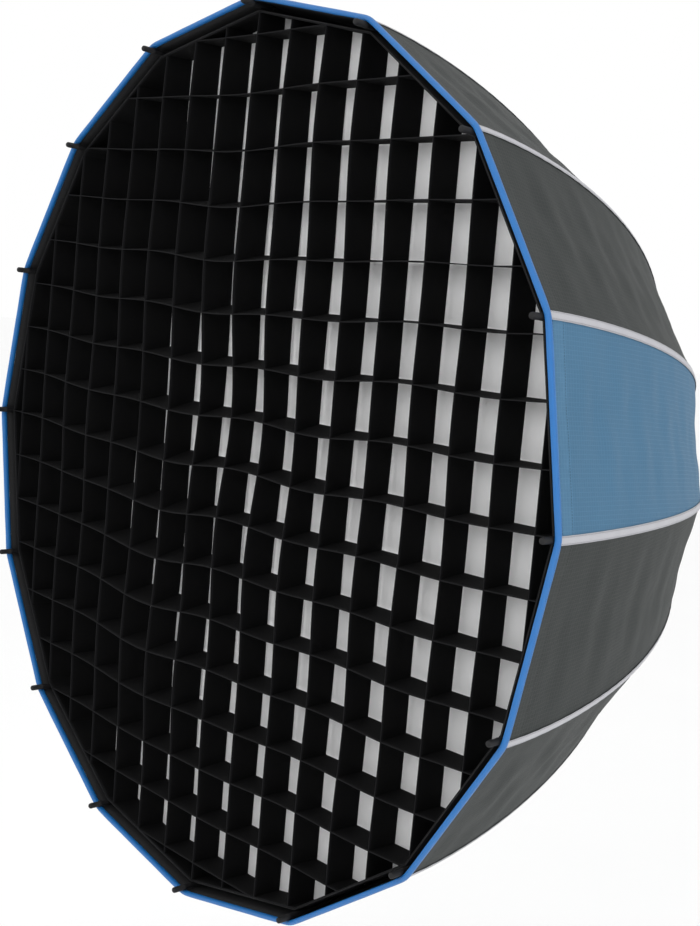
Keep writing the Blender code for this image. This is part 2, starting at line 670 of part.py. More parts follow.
# ---- assembly ----
def build():
    clear_scene()
    black_metal = finish("black_anodised", (0.020, 0.020, 0.022), 0.42, 0.6)
    black_nylon = finish("black_nylon", (0.018, 0.018, 0.019), 0.55)
    steel = finish("spring_steel", (0.50, 0.50, 0.52), 0.32, 1.0)
    rib_black = finish("black_rod", (0.022, 0.022, 0.024), 0.40)
    grey_cloth = finish("grey_ripstop", (0.085, 0.095, 0.092), 0.72)
    blue_cloth = finish("blue_ripstop", (0.100, 0.220, 0.340), 0.70)
    blue_tape = finish("blue_binding", (0.020, 0.130, 0.520), 0.62)
    black_cloth = finish("black_cloth", (0.012, 0.012, 0.013), 0.88)
    screen = finish("diffuser_cloth", (0.62, 0.62, 0.62), 0.80)

    mount = pivot("mount")
    hub = pivot("hub_turn", parent=mount)

    place("bayonet_ring", bayonet_ring(), black_metal, mount, 40)
    place("glide_ring", glide_ring(), black_nylon, mount, 40)
    place("retaining_ring", retaining_ring(), black_metal, mount, 40)
    retainer_front = HUB_FRONT_Y - GAP - RETAINER_THICKNESS
    retainer_screw = screw(0, RETAINER_THICKNESS + GAP + SCREW_GRIP)
    for k, angle in enumerate(screw_angles(RETAINER_SCREWS)):
        arm = pivot(f"retainer_screw_place_{k + 1}", turn=angle, parent=mount)
        piece = place(f"retainer_screw_{k + 1}", retainer_screw, steel, arm, 40)
        piece.location = (0, retainer_front - GAP, retainer_screw_radius())

    place("hub_ring", hub_ring(), black_metal, hub, 40)
    place("hub_cap", hub_cap(), black_nylon, hub, 40)
    place("hinge_wire", hinge_wire(), steel, hub, 60)
    place("catch_ring", catch_ring(), steel, hub, 40)
    cap_screw = screw(0, CATCH_SHEET + 2 * GAP + CAP_DEPTH + SCREW_GRIP)
    for k, angle in enumerate(screw_angles(CAP_SCREWS)):
        arm = pivot(f"cap_screw_place_{k + 1}", turn=angle, parent=hub)
        piece = place(f"cap_screw_{k + 1}", cap_screw, steel, arm, 40)
        piece.location = (0, CATCH_Y - GAP, CAP_SCREW_CIRCLE)
    place("rear_collar", rear_collar(), black_cloth, hub, 40)

    lock = pivot("lock_place", turn=LOCK_ANGLE, parent=hub)
    place("lock_pad", lock_pad(), black_nylon, lock, 40)
    place("lock_knob", lock_knob(), black_nylon, lock, 40)

    place("front_binding", front_binding(), blue_tape, hub, 60)
    place("front_lip", front_lip(), black_cloth, hub)
    place("egg_crate_grid", egg_crate_grid(), black_cloth, hub)
    place("front_diffuser", front_diffuser(), screen, hub)
    place("inner_diffuser", inner_diffuser(), screen, hub)

    rib_mesh = rib()
    panel_mesh = cover_panel()
    for k in range(RIBS):
        angle = k * STEP
        hinge_place = (sin(angle) * HINGE_RADIUS, HINGE_Y, cos(angle) * HINGE_RADIUS)
        hinge = pivot(f"rib_hinge_{k + 1:02d}", hinge_place, angle, hub)
        place(f"rib_{k + 1:02d}", rib_mesh, rib_black, hinge, 40)
        cloth = blue_cloth if k == 3 else grey_cloth
        place(f"cover_panel_{k + 1:02d}", panel_mesh, cloth, hinge, 30)


build()
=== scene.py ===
# %% [markdown]
# # A parabolic softbox on a folding hub
# The object is a deep cloth bowl that turns a studio lamp into a large soft light. Sixteen sprung
# ribs hold it open, a black fabric grid closes the front, and a metal ring at the back locks on
# the lamp. The moving frame is already made and packed. This lesson loads it, and sews the cloth
# round it in Blender: gores, seam tapes, binding, grid and screens.

# %% Load the frame
import json
from math import cos, hypot, pi, radians, sin, sqrt, tan, tau

import bmesh
import bpy
import numpy as np
from mathutils import Matrix, Vector


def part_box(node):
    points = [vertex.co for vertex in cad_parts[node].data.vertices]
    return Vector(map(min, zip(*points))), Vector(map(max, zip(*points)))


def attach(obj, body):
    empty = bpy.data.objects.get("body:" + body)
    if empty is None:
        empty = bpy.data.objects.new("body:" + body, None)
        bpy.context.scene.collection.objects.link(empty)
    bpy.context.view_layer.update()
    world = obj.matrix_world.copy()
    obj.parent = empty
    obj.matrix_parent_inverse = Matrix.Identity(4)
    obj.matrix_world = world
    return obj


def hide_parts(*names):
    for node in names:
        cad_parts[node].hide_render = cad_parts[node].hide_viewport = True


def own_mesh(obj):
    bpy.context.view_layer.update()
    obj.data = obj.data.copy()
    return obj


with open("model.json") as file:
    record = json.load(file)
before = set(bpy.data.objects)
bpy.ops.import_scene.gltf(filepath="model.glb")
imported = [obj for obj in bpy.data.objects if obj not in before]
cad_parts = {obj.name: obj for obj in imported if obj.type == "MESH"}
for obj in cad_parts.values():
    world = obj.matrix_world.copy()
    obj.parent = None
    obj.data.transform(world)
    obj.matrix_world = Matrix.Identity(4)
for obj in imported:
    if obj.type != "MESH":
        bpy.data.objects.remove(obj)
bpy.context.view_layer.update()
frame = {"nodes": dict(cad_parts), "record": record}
nodes = frame["nodes"]

# %% [markdown]
# ## Camera, floor and light
# The camera comes first, because every later step is judged through it. It stands off the open
# side of the box, a little above the middle, and leans five degrees. The look direction and the
# sideways direction are enough to write its matrix. The floor is a plain pale sheet, and the
# light is a bright even room with three large soft panels. They are area lamps shaped as discs,
# because a large disc gives a soft edge to every shadow.

# %% Camera
LENS = 57.4                      # millimetres, for a 36 mm sensor
EYE = Vector((1.584, -1.895, 0.229))
LOOK = Vector((-0.7480, 0.6544, -0.1108)).normalized()
LEAN = radians(5.04)

level = LOOK.cross(Vector((0, 0, 1))).normalized()
sideways = Matrix.Rotation(-LEAN, 3, LOOK) @ level
camera = bpy.data.objects.new("camera", bpy.data.cameras.new("camera"))
camera.data.lens = LENS
camera.data.sensor_width = 36
camera.matrix_world = Matrix.Translation(EYE) @ Matrix(
    (sideways, sideways.cross(LOOK), -LOOK)).transposed().to_4x4()
bpy.context.scene.collection.objects.link(camera)
bpy.context.scene.camera = camera
print("camera", LENS, "mm,", round((EYE - Vector((0, -0.37, 0))).length, 2), "m away")

# %% Room and floor
FLOOR = -1.30

scene = bpy.context.scene
scene.view_settings.view_transform = "Standard"
scene.world = bpy.data.worlds.new("studio")
scene.world.use_nodes = True
scene.world.node_tree.nodes["Background"].inputs["Color"].default_value = (1, 1, 1, 1)
scene.world.node_tree.nodes["Background"].inputs["Strength"].default_value = 1.0

floor_mesh = bmesh.new()
bmesh.ops.create_grid(floor_mesh, x_segments=1, y_segments=1, size=40,
                      matrix=Matrix.Translation((0, 0, FLOOR)))
floor = bpy.data.objects.new("floor", bpy.data.meshes.new("floor"))
floor_mesh.to_mesh(floor.data)
floor_mesh.free()
scene.collection.objects.link(floor)
print("floor at", FLOOR)


# %% Light panels
def panel_light(name, place, target, size, power):
    lamp = bpy.data.objects.new(name, bpy.data.lights.new(name, "AREA"))
    lamp.data.shape = "DISK"
    lamp.data.size = size
    lamp.data.energy = power
    lamp.location = place
    lamp.rotation_euler = (Vector(target) - Vector(place)).to_track_quat("-Z", "Y").to_euler()
    scene.collection.objects.link(lamp)
    print("light", name, power, "W,", size, "m")


panel_light("front_panel", (0.9, -3.7, 1.5), (0, -0.6, 0), 2.2, 25)
panel_light("side_panel", (3.4, -0.4, 0.3), (0, -0.4, 0), 1.4, 21)
panel_light("top_panel", (0.6, -0.6, 3.2), (0, -0.4, 0), 2.4, 5)

# %% [markdown]
# ## Writing materials as sums
# A node material is a formula. The class below wraps one socket, so that the formula can be
# written as one: adding two wrapped sockets adds a Math node. `node` makes any other node, from
# its type, its settings and what goes into its sockets.


# %% The socket class
class Shade:
    """One value in a material's node tree, with Python's operators."""

    def __init__(self, tree, socket=None):
        self.tree, self.socket = tree, socket

    def node(self, kind, settings=(), inputs=(), output=0):
        made = self.tree.nodes.new(kind)
        for name, value in dict(settings).items():
            setattr(made, name, value)
        for name, value in dict(inputs).items():
            if isinstance(value, Shade):
                self.tree.links.new(value.socket, made.inputs[name])
            else:
                made.inputs[name].default_value = value
        return Shade(self.tree, made.outputs[output])

    def math(self, operation, *values):
        return self.node("ShaderNodeMath", {"operation": operation},
                         dict(enumerate((self, *values))))

    def __add__(self, other): return self.math("ADD", other)
    def __radd__(self, other): return self.math("ADD", other)
    def __sub__(self, other): return self.math("SUBTRACT", other)
    def __rsub__(self, other): return self.math("MULTIPLY", -1.0).math("ADD", other)
    def __mul__(self, other): return self.math("MULTIPLY", other)
    def __rmul__(self, other): return self.math("MULTIPLY", other)
    def __truediv__(self, other): return self.math("DIVIDE", other)
    def __gt__(self, other): return self.math("GREATER_THAN", other)
    def __lt__(self, other): return self.math("LESS_THAN", other)

    def split(self, axis):
        return self.node("ShaderNodeSeparateXYZ", inputs={0: self}, output="XYZ".index(axis))

    def noise(self, scale, detail=2.0, rough=0.5):
        return self.node("ShaderNodeTexNoise",
                         inputs={"Vector": self, "Scale": scale, "Detail": detail, "Roughness": rough})

    def mix(self, first, second):
        """Colour `first` where this value is 0, `second` where it is 1."""
        return self.node("ShaderNodeMix", {"data_type": "RGBA"}, {0: self, 6: first, 7: second}, 2)

    def ridge(self, pitch, width):
        """1 on thin lines a pitch apart, 0 between them, with soft sides."""
        wave = (self / pitch).math("PINGPONG", 0.5)
        return wave.node("ShaderNodeMapRange", {"interpolation_type": "SMOOTHSTEP"},
                         {"Value": wave, "From Min": 0.5 - width / pitch, "From Max": 0.5})

    def band(self, middle, half):
        """1 within `half` of `middle`, 0 outside."""
        return (self - middle).math("ABSOLUTE") < half


def finish(name, color, roughness, metallic=0.0, **constants):
    """A Principled material, its shader and a first Shade to build on."""
    made = bpy.data.materials.new(name)
    made.use_nodes = True
    shader = made.node_tree.nodes["Principled BSDF"]
    shader.inputs["Base Color"].default_value = (*color, 1)
    shader.inputs["Roughness"].default_value = roughness
    shader.inputs["Metallic"].default_value = metallic
    for socket, value in constants.items():
        shader.inputs[socket.replace("_", " ")].default_value = value
    return made, shader, Shade(made.node_tree)


def feed(shade, shader, socket):
    shade.tree.links.new(shade.socket, shader.inputs[socket])


def bump(height, shader, distance, strength=1.0):
    made = height.node("ShaderNodeBump", inputs={"Strength": strength, "Distance": distance,
                                                 "Height": height})
    feed(made, shader, "Normal")


def uv_of(start):
    """A piece's own flat coordinates, in metres: across the cloth, and along it."""
    flat = start.node("ShaderNodeUVMap", {"uv_map": "flat"})
    return flat, flat.split("X"), flat.split("Y")


print("materials are made of", len([m for m in vars(Shade) if "_" not in m]), "plain helpers")

# %% [markdown]
# ## Cloth finishes
# The cover is ripstop: a thin tight weave with a thicker thread every few millimetres, which
# shows as a fine square grid. The pattern follows the cut of each gore, so it reads the piece's
# own UV map, which is kept in metres. A hem is sewn a finger's width behind the front edge.

# %% Ripstop, grey and blue
def stitches(along, across, line, pitch=0.0032, half=0.0004):
    """Short dashes of thread on a line across = line."""
    return across.band(line, half) * ((along / pitch).math("FRACT") < 0.68)


def ripstop(name, dark, light):
    made, shader, start = finish(name, dark, 0.62, Specular_IOR_Level=0.12)
    flat, across, along = uv_of(start)
    threads = across.ridge(0.0050, 0.0007).math("MAXIMUM", along.ridge(0.0050, 0.0007))
    weave = (across * (tau / 0.0011)).math("SINE") * (along * (tau / 0.0011)).math("SINE")
    cloudy = flat.noise(9.0, 3.0)
    sewn = stitches(across, along, 0.0270) + stitches(across, along, 0.0075)
    tone = threads * 0.30 + cloudy * 0.45 + weave * 0.05 + 0.10
    seen = tone.mix((*dark, 1), (*light, 1))
    worn = flat.noise(60.0, 4.0) * (along < 0.030) * 0.25
    seen = worn.mix(seen, tuple(min(1.0, c * 1.6) for c in light) + (1,))
    feed(sewn.mix(seen, tuple(c * 0.45 for c in dark) + (1,)), shader, "Base Color")
    feed(cloudy * 0.16 + 0.54 - threads * 0.08, shader, "Roughness")
    creases = flat.noise(26.0, 4.0, 0.6)
    bump(threads * 0.10 + weave * 0.04 + creases * 1.8 - sewn * 0.35, shader, 0.0011)
    return made


cover_grey = ripstop("ripstop_grey", (0.0255, 0.0288, 0.0283), (0.050, 0.0545, 0.0535))
cover_blue = ripstop("ripstop_blue", (0.045, 0.120, 0.205), (0.085, 0.190, 0.300))
print("ripstop:", cover_grey.name, cover_blue.name)


# %% Silver lining, seam tape, binding and webbing
def woven(name, color, light, rib, roughness, stitch_lines=(), thread=None, sheen=0.2, metallic=0.0):
    """A narrow woven tape: fine cross ribs, and rows of stitching."""
    made, shader, start = finish(name, color, roughness, metallic, Sheen_Weight=sheen,
                                 Sheen_Roughness=0.4)
    flat, across, along = uv_of(start)
    ribs = (along * (tau / rib)).math("SINE") * 0.5 + 0.5
    cross = (across * (tau / (rib * 0.8))).math("SINE") * 0.5 + 0.5
    tone = ribs * 0.35 + cross * 0.15 + flat.noise(35.0, 3.0) * 0.45
    seen = tone.mix((*color, 1), (*light, 1))
    height = ribs * 0.4 + cross * 0.2 + flat.noise(120.0, 2.0) * 0.5
    for line in stitch_lines:
        sewn = stitches(along, across, line, 0.0030, 0.00042)
        seen = sewn.mix(seen, (*(thread or color), 1))
        height = height - across.band(line, 0.0007) * 0.8 + sewn * 0.7
    feed(seen, shader, "Base Color")
    feed(flat.noise(50.0, 2.0) * 0.15 + (roughness - 0.08), shader, "Roughness")
    bump(height, shader, 0.0003)
    return made


seam_tape = woven("silver_seam_tape", (0.34, 0.34, 0.365), (0.50, 0.50, 0.53), 0.0012, 0.52,
                  (-0.0038, 0.0038), (0.24, 0.24, 0.27), 0.0)
blue_binding = woven("rolled_blue_binding", (0.002, 0.100, 0.345), (0.012, 0.180, 0.500), 0.0009, 0.38,
                     (0.0045,), (0.012, 0.08, 0.30), 0.0)
black_webbing = woven("black_webbing", (0.004, 0.004, 0.005), (0.012, 0.012, 0.013), 0.0016, 0.68,
                      (0.0030, 0.0220), (0.02, 0.02, 0.02), 0.0)
lining, shader, start = finish("silver_lining", (0.62, 0.62, 0.63), 0.30, 0.85)
flat, across, along = uv_of(start)
wave = flat.noise(40.0, 4.0) * 0.7 + across.ridge(0.005, 0.001) * 0.1
feed(wave.mix((0.50, 0.50, 0.51, 1), (0.72, 0.72, 0.74, 1)), shader, "Base Color")
bump(wave, shader, 0.002)
print("tapes:", seam_tape.name, blue_binding.name, black_webbing.name)

# %% Grid cloth and diffuser cloth
grid_cloth, shader, start = finish("grid_cloth", (0.002, 0.002, 0.002), 0.85, Specular_IOR_Level=0.12)
flat, across, along = uv_of(start)
# The first 3.2 mm behind each strip's front edge is painted lighter: a painted highlight for the front
# edges, which face the lamps.
edge = across < 0.0032
nap = flat.noise(70.0, 3.0)
weave = (along * (tau / 0.0014)).math("SINE") * (across * (tau / 0.0014)).math("SINE")
seen = (nap * 0.6 + weave * 0.1).mix((0.0010, 0.0010, 0.0012, 1), (0.0032, 0.0032, 0.0035, 1))
feed(edge.mix(seen, (0.007, 0.007, 0.0078, 1)), shader, "Base Color")
bump(nap * 0.6 + weave * 0.2 - across.band(0.0036, 0.0004) * 0.8, shader, 0.0004)

diffuser_cloth, shader, start = finish("diffuser_cloth", (0.90, 0.90, 0.90), 0.85, Specular_IOR_Level=0.3)
place = start.node("ShaderNodeTexCoord", output="Object")
weave = (place.split("X") * (tau / 0.0012)).math("SINE") * (place.split("Z") * (tau / 0.0012)).math("SINE")
cloud = place.noise(5.0, 3.0)
feed((cloud * 0.7 + weave * 0.1).mix((0.88, 0.88, 0.885, 1), (0.93, 0.93, 0.93, 1)), shader, "Base Color")
bump(place.noise(14.0, 3.0) + weave * 0.03, shader, 0.004)
print("screens:", grid_cloth.name, diffuser_cloth.name)

# %% [markdown]
# ## Hard finishes
# The hub is anodised aluminium with moulded nylon, the catch and the hinge wire are spring steel,
# and the ribs are painted rods with rubber ends. A turned part shows fine rings round its axis,
# and a moulded one a fine even grain, so each has its own small pattern of bumps.

# %% Metal, nylon, steel and rubber
def moulded(name, color, roughness, grain=900.0, depth=0.0002, **constants):
    made, shader, start = finish(name, color, roughness, **constants)
    place = start.node("ShaderNodeTexCoord", output="Object")
    speck = place.noise(grain, 2.0)
    rub = place.noise(30.0, 4.0, 0.65)
    worn = (rub > 0.62) * 0.25
    feed(worn.mix((*color, 1), tuple(min(1.0, c * 1.9 + 0.01) for c in color) + (1,)), shader, "Base Color")
    feed(rub * 0.2 + (roughness - 0.1), shader, "Roughness")
    bump(speck, shader, depth, 0.5)
    return made


def turned_metal(name, color, roughness):
    """Fine lathe rings round the box's axis."""
    made, shader, start = finish(name, color, roughness, 1.0)
    place = start.node("ShaderNodeTexCoord", output="Object")
    x, z = place.split("X"), place.split("Z")
    ring = (x * x + z * z).math("SQRT") + place.split("Y")
    lines = (ring * (tau / 0.0006)).math("SINE") * 0.5 + 0.5
    rub = place.noise(40.0, 4.0, 0.6)
    feed((rub * 0.5 + lines * 0.1).mix((*color, 1), tuple(min(1, c * 1.7) for c in color) + (1,)),
         shader, "Base Color")
    feed(rub * 0.18 + lines * 0.05 + (roughness - 0.1), shader, "Roughness")
    bump(lines, shader, 0.00003, 0.6)
    return made


hub_metal = turned_metal("black_anodised", (0.035, 0.035, 0.038), 0.42)
hub_nylon = moulded("moulded_nylon", (0.016, 0.016, 0.018), 0.55)
knob_nylon = moulded("knob_nylon", (0.014, 0.014, 0.015), 0.48, 1400.0, 0.0003)
spring_steel = turned_metal("spring_steel", (0.50, 0.50, 0.52), 0.30)
zinc = turned_metal("black_zinc", (0.16, 0.16, 0.17), 0.36)
rod_paint = moulded("rod_paint", (0.014, 0.014, 0.015), 0.38, 600.0, 0.0001)
tip_rubber = moulded("tip_rubber", (0.008, 0.008, 0.009), 0.62, 1500.0, 0.0002, Specular_IOR_Level=0.3)
plaster, shader, start = finish("floor_white", (0.96, 0.96, 0.96), 0.9)
cloud = start.node("ShaderNodeTexCoord", output="Object").noise(2.0, 3.0)
feed(cloud.mix((0.955, 0.955, 0.955, 1), (0.97, 0.97, 0.97, 1)), shader, "Base Color")
floor.data.materials.append(plaster)

DRESS = {"rib": rod_paint, "hub_metal": hub_metal, "hub_plastic": hub_nylon, "knob": knob_nylon,
         "spring_steel": spring_steel, "screws": zinc, "black_webbing": black_webbing}
for sub in frame["record"]["subparts"]:
    if sub["material_slot"] in DRESS:
        node = nodes[sub["node"]]
        node.data.materials.clear()
        node.data.materials.append(DRESS[sub["material_slot"]])
print("dressed the frame in", len(DRESS), "finishes")

# %% [markdown]
# ## The curve of the cover
# All the cloth hangs on one curve: from the rim it runs almost straight back, bends round, and
# ends nearly flat at the hub. It is the same Bezier curve as the frame's ribs follow. Cloth is
# measured along its length, so the curve is tabulated once by distance from the rim.

# %% Curve sizes
RIBS = 16
STEP = tau / RIBS
HALF = STEP / 2
RIM = 0.600                      # axis to a rib at the rim
HINGE = 0.085                    # axis to a hinge
RIM_LEAN, RIM_HANDLE = radians(3.6), 0.098      # the curve's slope at the rim, and its handle
HUB_LEAN, HUB_HANDLE = radians(85.2), 0.396     # the same at the hub
HINGE_Y = -0.042
RIM_Y = HINGE_Y - 0.700
ROD_OFFSET = 0.00355             # rod's middle to the cover's middle
BLUE_GORE = 3                    # counted from 0, between the fourth and fifth ribs
COVER_END = 0.1115               # radius where the cover meets the collar


# %% Tabulate the curve
def bezier(t):
    rim, hub = Vector((RIM, RIM_Y)), Vector((HINGE, HINGE_Y + ROD_OFFSET))
    first = rim + Vector((-sin(RIM_LEAN), cos(RIM_LEAN))) * RIM_HANDLE
    last = hub + Vector((sin(HUB_LEAN), -cos(HUB_LEAN))) * HUB_HANDLE
    s = 1 - t
    return rim * s**3 + first * 3 * s * s * t + last * 3 * s * t * t + hub * t**3


samples = [bezier(k / 800) for k in range(801)]
steps = [(b - a).length for a, b in zip(samples, samples[1:])]
lengths = np.concatenate(([0.0], np.cumsum(steps)))
radii, depths = (np.array([p[i] for p in samples]) for i in (0, 1))
COVER_LENGTH = float(np.interp(-COVER_END, -radii, lengths))


def cover_line(s):
    """Radius, y and outward direction of the cover in a rib's plane, s metres back from the rim."""
    ahead, behind = (Vector((np.interp(s + d, lengths, radii), np.interp(s + d, lengths, depths)))
                     for d in (0.004, -0.004))
    along = (ahead - behind).normalized()
    return (float(np.interp(s, lengths, radii)), float(np.interp(s, lengths, depths)),
            along.y, -along.x)


def turn(angle, across, y, outward):
    """A point from its place beside a meridian at that angle: across it, y, and out from the axis."""
    return Vector((across * cos(angle) + outward * sin(angle), y,
                   outward * cos(angle) - across * sin(angle)))


print("cover length from rim to collar", round(COVER_LENGTH, 3), "m")

# %% [markdown]
# ## A cell of cloth
# A sheet of cloth starts as a flat grid, and each of its points is then carried to its place in
# the air by a function, the way that a tailor's pattern becomes a coat. Two such grids, face and
# lining, are bridged round their edges. The shading normals are measured from the function and
# not from the faces, so two pieces that meet in the middle of a gore show no line there.

# %% Cloth builder
def normal_of(place, a, b):
    e = 0.01
    across = place(a + e, b, 0.0) - place(a - e, b, 0.0)
    along = place(a, b + e, 0.0) - place(a, b - e, 0.0)
    return across.cross(along).normalized()


def add_cloth(bm, marks, columns, rows, place, flat, thickness, face=0, back=0):
    """Face and lining of one patch. For a and b in 0..1, place(a, b, lift) gives a point and
    flat(a, b) its UV."""
    loops, layers = [], []
    for side in (1, -1):
        made = bmesh.ops.create_grid(bm, x_segments=columns, y_segments=rows, size=1)["verts"]
        inside = set(made)
        for vert in made:
            a, b = (vert.co.x + 1) / 2, (vert.co.y + 1) / 2
            vert.co = place(a, b, side * thickness / 2)
            marks[vert] = (normal_of(place, a, b) * side, flat(a, b))
        faces = {f for v in made for f in v.link_faces}
        for f in faces:
            f.material_index = face if side > 0 else back
        layers.append(faces)
        loops += [e for e in {e for v in made for e in v.link_edges} if e.is_boundary]
    rims = bmesh.ops.bridge_loops(bm, edges=loops)["faces"]
    for f in rims:
        f.material_index = face
    return layers


def sewn(bm, marks, name, materials):
    """Turns a finished bmesh into an object, with its UVs in metres and its measured normals."""
    bmesh.ops.recalc_face_normals(bm, faces=bm.faces[:])
    uv = bm.loops.layers.uv.new("flat")
    for f in bm.faces:
        f.smooth = True
        for loop in f.loops:
            if loop.vert in marks:
                loop[uv].uv = marks[loop.vert][1]
    bm.verts.index_update()
    mesh = bpy.data.meshes.new(name)
    normals = [marks[v][0] if v in marks else v.normal for v in bm.verts]
    bm.to_mesh(mesh)
    bm.free()
    for material in materials:
        mesh.materials.append(material)
    mesh.normals_split_custom_set_from_vertices([tuple(n) for n in normals])
    made = bpy.data.objects.new(name, mesh)
    scene.collection.objects.link(made)
    return made


def cloth_area(piece):
    return sum(polygon.area for polygon in piece.data.polygons) / 2


print("cloth builder ready")

# %% [markdown]
# ## Gores
# Cloth stretched over sprung ribs is pulled in a little between them, and it keeps soft folds,
# mostly side by side with the rim, which fade towards the hub. Each gore is cut down its middle,
# so that either half can follow its own rib when the box folds, and across in seven lengths,
# because the rim has to gather far more than the hub. Each length runs on a little under the
# next, so that the cover stays closed when it is folded.

# %% Shape of a gore
SAG = 0.0032


def slack(gore, q, s):
    """How far the cloth lies inside the straight line between its ribs."""
    open_side = 1 - q * q
    lie = s / COVER_LENGTH
    pulled = SAG * open_side * sin(pi * min(1.0, max(0.0, lie))) ** 0.7
    turn_of = gore * 2.399
    near_rim = min(1.0, max(0.0, s - 0.02) / 0.05) * max(0.15, 1 - lie * 1.3)
    across = (0.0017 * sin(tau * s / 0.088 + 1.7 * q + 0.9 * sin(2.3 * q + turn_of) + turn_of)
              + 0.0009 * sin(tau * s / 0.049 - 2.6 * q + 2.1 * turn_of))
    along = (0.0008 * sin(5.2 * q + 2.0 * sin(3.1 * s + turn_of) + turn_of)
             + 0.0005 * sin(11.0 * q - 9.0 * s + 2.3 * turn_of))
    return pulled + open_side * (across * near_rim + along * min(1.0, max(0.0, s) / 0.06))


def gore_point(gore, q, s, lift):
    """q runs from -1 at one rib to 1 at the next."""
    radius, y, out_r, out_y = cover_line(max(s, 0.0))
    radius, y = radius + min(s, 0.0) * -out_y, y + min(s, 0.0) * out_r
    out = lift - slack(gore, q, s)
    return turn((gore + 0.5) * STEP, q * radius * sin(HALF), y + out_y * out,
                radius * cos(HALF) + out_r * out)


def half_width(s):
    return cover_line(max(s, 0.0))[0] * sin(HALF)


# %% How far each length of the cover has to gather
FOLD = radians(38)


def folded(radius, y):
    """A point of a rib once it has swung in round its hinge."""
    u, v = radius - HINGE, y - HINGE_Y
    return HINGE + u * cos(FOLD) + v * sin(FOLD), HINGE_Y + v * cos(FOLD) - u * sin(FOLD)


def gather(s):
    radius, y, _, _ = cover_line(s)
    return folded(radius, y)[0] / radius


CUTS = [0.0, 0.062, 0.125, 0.20, 0.30, 0.43, 0.61, COVER_LENGTH]
KEEPS = [round(0.15 * gather(a) + 0.85 * gather(b), 3) for a, b in zip(CUTS, CUTS[1:])]
print("the rim gathers to", round(gather(0.0), 3), "and the lengths keep", KEEPS)


# %% Sew the cover
CLOTH = 0.0009
HEM = 0.0040                     # the binding takes the first millimetres of the cloth
ROW = 0.010
LAP = 0.018                      # how far each length runs on under the next
LAP_CLOTH = 0.0004
LAP_START = 0.002                # the lap starts this far inside its own length


def meridian_of(rib):
    angle = rib * STEP
    return ((cos(angle), 0, -sin(angle)), (sin(angle) * HINGE, HINGE_Y, cos(angle) * HINGE))


def cover_piece(rib, sides, part):
    s0, s1 = max(CUTS[part], HEM), CUTS[part + 1]
    lap = LAP if part + 1 < len(KEEPS) else 0.0
    bm, marks = bmesh.new(), {}
    gores = []
    for side in sides:
        gore = (rib if side > 0 else rib - 1) % RIBS
        gores.append(gore)
        q0, q1 = (-1.0, 0.0) if side > 0 else (0.0, 1.0)

        def place(a, b, lift, gore=gore, q0=q0, q1=q1):
            return gore_point(gore, q0 + (q1 - q0) * a, s0 + (s1 - s0) * b, lift)

        def flat(a, b, q0=q0, q1=q1):
            s = s0 + (s1 - s0) * b
            return ((q0 + (q1 - q0) * a) * half_width(s), s)

        def under(a, b, lift, gore=gore, q0=q0, q1=q1):
            s = s1 - LAP_START + (lap + LAP_START) * b
            return gore_point(gore, q0 + (q1 - q0) * a, s, lift - CLOTH / 2 - 0.0003)

        def under_flat(a, b, q0=q0, q1=q1):
            s = s1 - LAP_START + (lap + LAP_START) * b
            return ((q0 + (q1 - q0) * a) * half_width(s), s)

        add_cloth(bm, marks, 10, max(4, round((s1 - s0) / ROW)), place, flat, CLOTH, 0, 1)
        if lap:
            add_cloth(bm, marks, 10, 3, under, under_flat, LAP_CLOTH, 0, 1)
    blue = gores == [BLUE_GORE]
    tail = "" if len(sides) == 2 else ("_a" if sides[0] > 0 else "_b")
    piece = sewn(bm, marks, f"cover_{rib + 1:02d}{tail}_{'tuvwxyz'[part]}",
                 [cover_blue if blue else cover_grey, black_webbing if part == 0 else lining])
    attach(piece, f"rib_body_{rib + 1:02d}")
    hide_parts(*[f"cover_panel_{g + 1:02d}" for g in gores])
    axis, anchor = meridian_of(rib)
    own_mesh(piece)
    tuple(axis)
    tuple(anchor)
    len(sides) * half_width(s0) * 1.01
    s1 + lap - s0
    len(sides) * ((half_width(s0) + half_width(s1)) / 2 * (s1 - s0) + half_width(s1) * lap)
    return piece


covers = []
for rib in range(RIBS):
    split = rib in (BLUE_GORE, BLUE_GORE + 1)
    for sides in ([(1,), (-1,)] if split else [(-1, 1)]):
        covers += [cover_piece(rib, sides, part) for part in range(len(KEEPS))]
print("cover:", len(covers), "pieces,", round(sum(cloth_area(c) for c in covers), 2), "m2 of cloth")

# %% [markdown]
# ## Seam tapes
# A silver tape covers each seam from the rim to the hub, and it holds the rod under it. It lies
# over the edge between two gores, so its section is a shallow roof with a rounded top.

# %% Silver tapes
TAPE = 0.0100


def tape_piece(rib):
    s0, s1 = 0.0030, COVER_LENGTH - 0.002
    bm, marks = bmesh.new(), {}

    def place(a, b, lift):
        x, s = (a - 0.5) * TAPE, s0 + (s1 - s0) * b
        radius, y, out_r, out_y = cover_line(s)
        drop = (sqrt(x * x + 0.0016**2) - 0.0016) * tan(HALF)
        out = lift + 0.0011 - drop + 0.00012 * sin(260 * s + rib) * (abs(2 * a - 1) ** 2)
        return turn(rib * STEP, x, y + out_y * out, radius + out_r * out)

    def flat(a, b):
        return ((a - 0.5) * TAPE, s0 + (s1 - s0) * b)

    add_cloth(bm, marks, 8, 130, place, flat, 0.0006)
    piece = sewn(bm, marks, f"seam_tape_{rib + 1:02d}", [seam_tape])
    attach(piece, f"rib_body_{rib + 1:02d}")
    return piece


tapes = [tape_piece(rib) for rib in range(RIBS)]
print("tapes:", len(tapes), "of", round(COVER_LENGTH, 2), "m")

# %% [markdown]
# ## Binding and lip
# The front edge is bound with a rolled tape, a soft tube that turns each corner. It is made as a
# grid wrapped round a section, and cut in the middle of each side so that every corner can go
# with its rib. Behind it a band of webbing stands inside the ribs, and the grid's border
# fastens to it.

# %% Rolled binding
BIND_OUT, BIND_LONG = 0.0033, 0.0045
CORNER = 0.006


